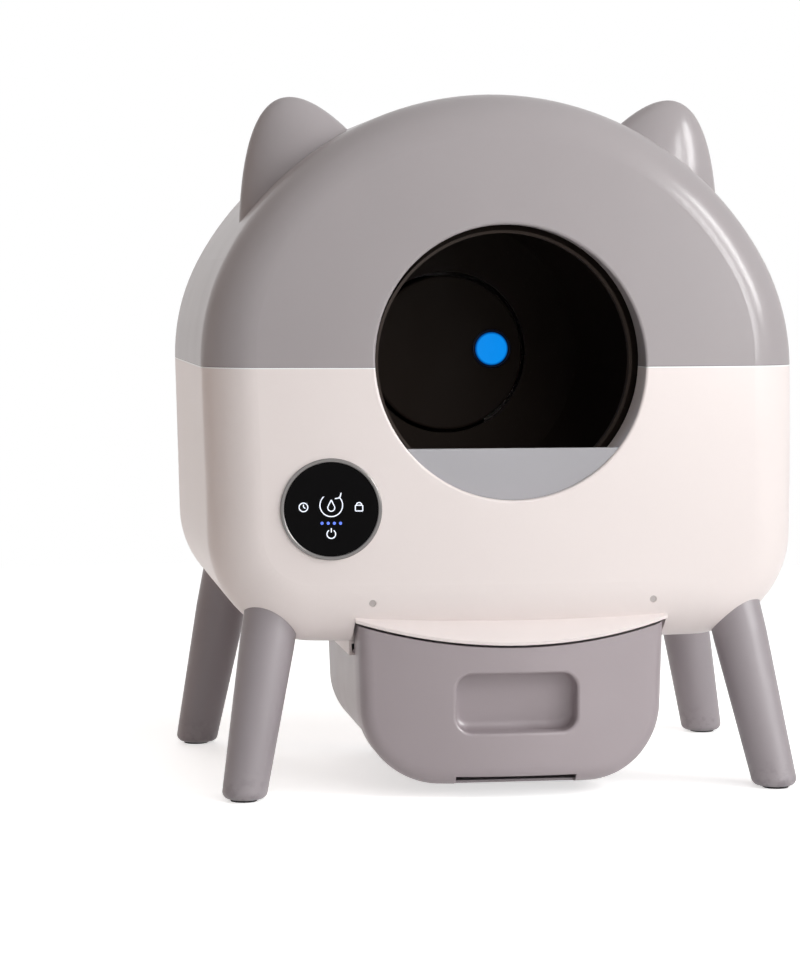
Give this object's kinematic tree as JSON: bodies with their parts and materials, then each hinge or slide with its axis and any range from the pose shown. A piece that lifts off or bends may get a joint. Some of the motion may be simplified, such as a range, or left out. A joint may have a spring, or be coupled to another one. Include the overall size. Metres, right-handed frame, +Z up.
{
  "type": "self-cleaning litter box",
  "caption": "Domed cat toilet on splayed legs: a geared drum with a sieve turns behind a round entrance and tips waste into a pull-out drawer; the dome with cat ears lifts off.",
  "frame": {"origin": "middle of the bounding box on the ground", "axes": "+X to the right seen from the front, +Y from the entrance to the back, +Z up"},
  "size_m": [0.611, 0.514, 0.6927],
  "materials": {
    "grey_shell": "fine satin grain",
    "white_shell": "smooth, slightly glossy",
    "guard_grey": "smooth satin",
    "drawer_grey": "fine satin grain",
    "leg_grey": "fine satin grain",
    "black_plastic": "fine grain",
    "panel_black": "glossy touch glass",
    "bezel_silver": "satin",
    "lamp_blue": "glowing translucent lens",
    "steel": "brushed",
    "rubber": "matt",
    "gear_nylon": "smooth natural nylon",
    "board_green": "solder mask"
  },
  "bodies": {
    "base": {"lower_shell": "white_shell", "entry_guard": "guard_grey", "panel_bezel": "bezel_silver", "panel_glass": "panel_black", "panel_board": "board_green", "screw_plugs": "guard_grey", "foot_pads": "rubber", "weight_cells": "steel", "leg_screws": "steel", "leg_front_left": "leg_grey", "leg_front_right": "leg_grey", "leg_rear_left": "leg_grey", "leg_rear_right": "leg_grey", "gearbox": "steel", "drive_motor": "steel", "motor_bracket": "steel", "motor_screws": "steel", "roller_axles": "steel", "bracket_screws": "steel", "drawer_rail_left": "white_shell", "drawer_rail_right": "white_shell", "rail_screws": "steel", "lamp_housing": "black_plastic", "lamp_lens": "lamp_blue", "lamp_board": "board_green", "module_bracket": "black_plastic", "main_board": "board_green", "board_screws": "steel", "power_inlet": "black_plastic", "roller_bracket_front_left": "gear_nylon", "roller_bracket_front_right": "gear_nylon", "roller_bracket_rear_left": "gear_nylon", "roller_bracket_rear_right": "gear_nylon"},
    "cover": {"upper_shell": "grey_shell"},
    "drum": {"drum_front": "black_plastic", "drum_rear": "black_plastic", "drum_screws": "steel", "sieve_grate": "black_plastic", "ring_gear": "gear_nylon"},
    "pinion": {"drive_pinion": "gear_nylon"},
    "drawer": {"drawer_front": "drawer_grey", "drawer_bin": "drawer_grey", "bag_frame": "black_plastic", "cap_screws": "steel"},
    "roller_front_left": {"drum_roller_front_left": "rubber"},
    "roller_front_right": {"drum_roller_front_right": "rubber"},
    "roller_rear_left": {"drum_roller_rear_left": "rubber"},
    "roller_rear_right": {"drum_roller_rear_right": "rubber"}
  },
  "joints": [
    {"name": "drum_spin", "type": "hinge", "parent": "base", "child": "drum", "pos_m": [0, 0, 0.425], "axis": [0, 1, 0], "continuous": true},
    {"name": "pinion_spin", "type": "hinge", "parent": "base", "child": "pinion", "pos_m": [0.20522, 0.05075, 0.24022], "axis": [0, 1, 0], "continuous": true},
    {"name": "roller_front_left_spin", "type": "hinge", "parent": "base", "child": "roller_front_left", "pos_m": [-0.12787, -0.083, 0.22037], "axis": [0, 1, 0], "continuous": true},
    {"name": "roller_front_right_spin", "type": "hinge", "parent": "base", "child": "roller_front_right", "pos_m": [0.12787, -0.083, 0.22037], "axis": [0, 1, 0], "continuous": true},
    {"name": "roller_rear_left_spin", "type": "hinge", "parent": "base", "child": "roller_rear_left", "pos_m": [-0.12787, 0.092, 0.22037], "axis": [0, 1, 0], "continuous": true},
    {"name": "roller_rear_right_spin", "type": "hinge", "parent": "base", "child": "roller_rear_right", "pos_m": [0.12787, 0.092, 0.22037], "axis": [0, 1, 0], "continuous": true},
    {"name": "drawer_slide", "type": "slide", "parent": "base", "child": "drawer", "axis": [0, -1, 0], "range_m": [0, 0.2]},
    {"name": "cover_lift", "type": "slide", "parent": "base", "child": "cover", "axis": [0, 0, 1], "range_m": [0, 0.27]}
  ],
  "couplings": [
    {"joint": "pinion_spin", "follows": "drum_spin", "ratio": -6.6667},
    {"joint": "roller_front_left_spin", "follows": "drum_spin", "ratio": -14.062},
    {"joint": "roller_front_right_spin", "follows": "drum_spin", "ratio": -14.062},
    {"joint": "roller_rear_left_spin", "follows": "drum_spin", "ratio": -14.062},
    {"joint": "roller_rear_right_spin", "follows": "drum_spin", "ratio": -14.062}
  ]
}
